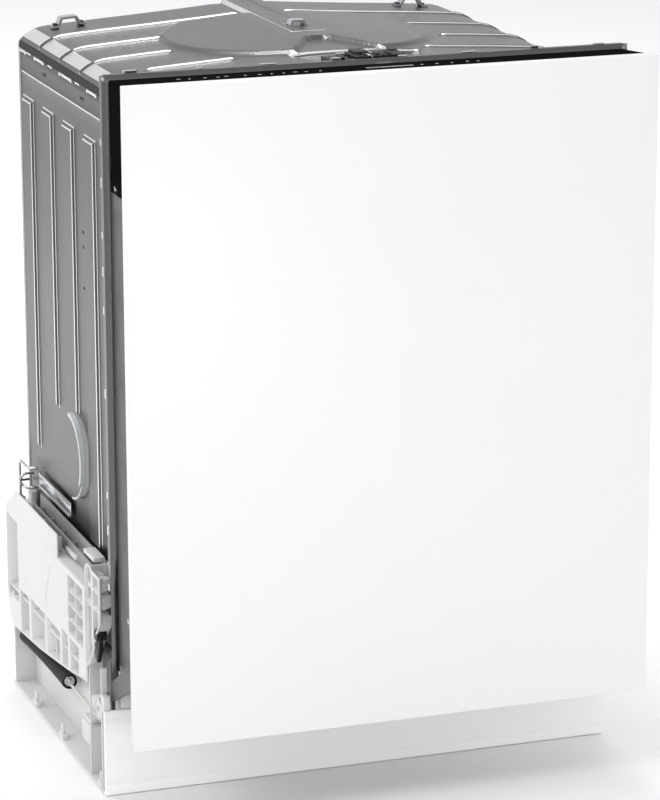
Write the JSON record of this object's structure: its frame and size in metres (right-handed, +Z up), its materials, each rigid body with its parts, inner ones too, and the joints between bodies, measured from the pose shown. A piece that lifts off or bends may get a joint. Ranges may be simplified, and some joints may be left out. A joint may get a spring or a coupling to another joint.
{
  "type": "built-in dishwasher",
  "caption": "Fully integrated built-in dishwasher with a plain white door panel, steel tub, moulded base, racks and spray arms; the door swings down on balanced hinges.",
  "frame": {"origin": "on the floor under the middle of the bounding box, door closed", "axes": "+Z up, front (door) towards -Y, +X to the right seen from the front"},
  "size_m": [0.598, 0.55, 0.817],
  "materials": {
    "white_board": "smooth white lacquer, satin",
    "white_plastic": "moulded polypropylene",
    "black_plastic": "moulded, semi gloss",
    "black_glass": "glossy window",
    "tub_steel": "rolled stainless sheet",
    "bright_steel": "satin stainless",
    "shell_steel": "zinc coated grey sheet",
    "dark_rubber": "matt",
    "grey_plastic": "moulded polypropylene",
    "clear_plastic": "milky translucent",
    "rack_wire": "nylon coated wire",
    "board_green": "solder mask",
    "cap_blue": "moulded"
  },
  "bodies": {
    "cabinet": {"plinth": "white_plastic", "base_side_left": "white_plastic", "base_side_right": "white_plastic", "base_cover_left": "white_plastic", "base_pan": "white_plastic", "softener": "white_plastic", "inlet_valve": "white_plastic", "pull_cord_left": "white_plastic", "pull_cord_right": "white_plastic", "latch_housing": "black_plastic", "circulation_pump": "black_plastic", "drain_pump": "black_plastic", "tub_top": "tub_steel", "tub_side_left": "tub_steel", "tub_side_right": "tub_steel", "tub_back": "tub_steel", "tub_floor": "tub_steel", "front_frame": "tub_steel", "top_bridge": "tub_steel", "hinge_bracket_left": "bright_steel", "hinge_bracket_right": "bright_steel", "rack_rail_left": "bright_steel", "rack_rail_right": "bright_steel", "tub_gasket": "dark_rubber", "spring_sleeve_left": "dark_rubber", "spring_sleeve_right": "dark_rubber", "sump": "grey_plastic", "spray_riser": "grey_plastic", "air_break": "clear_plastic"},
    "door": {"furniture_panel": "white_board", "door_outer_shell": "shell_steel", "door_inner_liner": "bright_steel", "control_console": "black_plastic", "control_board": "board_green", "display_window": "black_glass", "dispenser_body": "grey_plastic", "door_bottom_seal": "dark_rubber", "hinge_arm_left": "bright_steel", "hinge_arm_right": "bright_steel", "door_striker": "bright_steel"},
    "dispenser_lid": {"dispenser_lid": "grey_plastic"},
    "rinse_aid_cap": {"rinse_aid_cap": "cap_blue"},
    "key_power": {"key_power": "black_plastic"},
    "key_program": {"key_program": "black_plastic"},
    "key_option": {"key_option": "black_plastic"},
    "key_start": {"key_start": "black_plastic"},
    "latch_bolt": {"latch_bolt": "bright_steel"},
    "cord_pulley_left": {"cord_pulley_left": "black_plastic"},
    "cord_pulley_right": {"cord_pulley_right": "black_plastic"},
    "filter_cup": {"filter_cup": "grey_plastic"},
    "salt_cap": {"salt_cap": "white_plastic"},
    "lower_spray_arm": {"lower_spray_arm": "grey_plastic"},
    "upper_spray_arm": {"upper_spray_arm": "grey_plastic"},
    "ceiling_sprayer": {"ceiling_sprayer": "grey_plastic"},
    "lower_rack": {"lower_rack": "rack_wire"},
    "upper_rack": {"upper_rack": "rack_wire"},
    "cutlery_tray": {"cutlery_tray": "rack_wire"},
    "foot_front_left": {"foot_front_left": "black_plastic"},
    "foot_front_right": {"foot_front_right": "black_plastic"},
    "foot_rear": {"foot_rear": "black_plastic"}
  },
  "joints": [
    {"name": "door_hinge", "type": "hinge", "parent": "cabinet", "child": "door", "pos_m": [0, -0.236, 0.165], "axis": [1, 0, 0], "range_deg": [0, 90], "stiffness_Nm_per_rad": 25},
    {"name": "dispenser_lid_slide", "type": "slide", "parent": "door", "child": "dispenser_lid", "axis": [0, 0, 1], "range_m": [0, 0.1]},
    {"name": "rinse_aid_cap_turn", "type": "hinge", "parent": "door", "child": "rinse_aid_cap", "pos_m": [0.055, -0.2, 0.52], "axis": [0, 1, 0], "range_deg": [0, 90]},
    {"name": "key_power_press", "type": "slide", "parent": "door", "child": "key_power", "axis": [0, 0, -1], "range_m": [0, 0.0012], "stiffness_N_per_m": 2000},
    {"name": "key_program_press", "type": "slide", "parent": "door", "child": "key_program", "axis": [0, 0, -1], "range_m": [0, 0.0012], "stiffness_N_per_m": 2000},
    {"name": "key_option_press", "type": "slide", "parent": "door", "child": "key_option", "axis": [0, 0, -1], "range_m": [0, 0.0012], "stiffness_N_per_m": 2000},
    {"name": "key_start_press", "type": "slide", "parent": "door", "child": "key_start", "axis": [0, 0, -1], "range_m": [0, 0.0012], "stiffness_N_per_m": 2000},
    {"name": "latch_bolt_slide", "type": "slide", "parent": "cabinet", "child": "latch_bolt", "axis": [0, 1, 0], "range_m": [0, 0.014], "stiffness_N_per_m": 800},
    {"name": "cord_pulley_left_turn", "type": "hinge", "parent": "cabinet", "child": "cord_pulley_left", "pos_m": [-0.2865, -0.0997, 0.084], "axis": [1, 0, 0], "range_deg": [-635, 0]},
    {"name": "cord_pulley_right_turn", "type": "hinge", "parent": "cabinet", "child": "cord_pulley_right", "pos_m": [0.2865, -0.0997, 0.084], "axis": [1, 0, 0], "range_deg": [-635, 0]},
    {"name": "filter_turn", "type": "hinge", "parent": "cabinet", "child": "filter_cup", "pos_m": [0, -0.07, 0.18], "axis": [0, 0, 1], "range_deg": [0, 60]},
    {"name": "salt_cap_turn", "type": "hinge", "parent": "cabinet", "child": "salt_cap", "pos_m": [0.2, -0.03, 0.206], "axis": [0, 0, 1], "range_deg": [0, 360]},
    {"name": "lower_spray_spin", "type": "hinge", "parent": "cabinet", "child": "lower_spray_arm", "pos_m": [0, 0.0405, 0.227], "axis": [0, 0, 1], "continuous": true},
    {"name": "upper_spray_spin", "type": "hinge", "parent": "upper_rack", "child": "upper_spray_arm", "pos_m": [0, 0.0405, 0.466], "axis": [0, 0, 1], "continuous": true},
    {"name": "ceiling_spray_spin", "type": "hinge", "parent": "cabinet", "child": "ceiling_sprayer", "pos_m": [0, 0.0405, 0.765], "axis": [0, 0, 1], "continuous": true},
    {"name": "lower_rack_slide", "type": "slide", "parent": "cabinet", "child": "lower_rack", "axis": [0, -1, 0], "range_m": [0, 0.1055]},
    {"name": "upper_rack_slide", "type": "slide", "parent": "cabinet", "child": "upper_rack", "axis": [0, -1, 0], "range_m": [0, 0.4005]},
    {"name": "cutlery_tray_slide", "type": "slide", "parent": "cabinet", "child": "cutlery_tray", "axis": [0, -1, 0], "range_m": [0, 0.4005]},
    {"name": "foot_front_left_screw", "type": "slide", "parent": "cabinet", "child": "foot_front_left", "axis": [0, 0, -1], "range_m": [0, 0.04]},
    {"name": "foot_front_right_screw", "type": "slide", "parent": "cabinet", "child": "foot_front_right", "axis": [0, 0, -1], "range_m": [0, 0.04]},
    {"name": "foot_rear_screw", "type": "slide", "parent": "cabinet", "child": "foot_rear", "axis": [0, 0, -1], "range_m": [0, 0.04]}
  ],
  "couplings": [
    {"joint": "lower_rack_slide", "follows": "door_hinge", "m_per_rad": 0.066845},
    {"joint": "upper_rack_slide", "follows": "door_hinge", "m_per_rad": 0.25465},
    {"joint": "cutlery_tray_slide", "follows": "door_hinge", "m_per_rad": 0.25465},
    {"joint": "cord_pulley_left_turn", "follows": "door_hinge", "ratio": -7},
    {"joint": "cord_pulley_right_turn", "follows": "door_hinge", "ratio": -7}
  ]
}
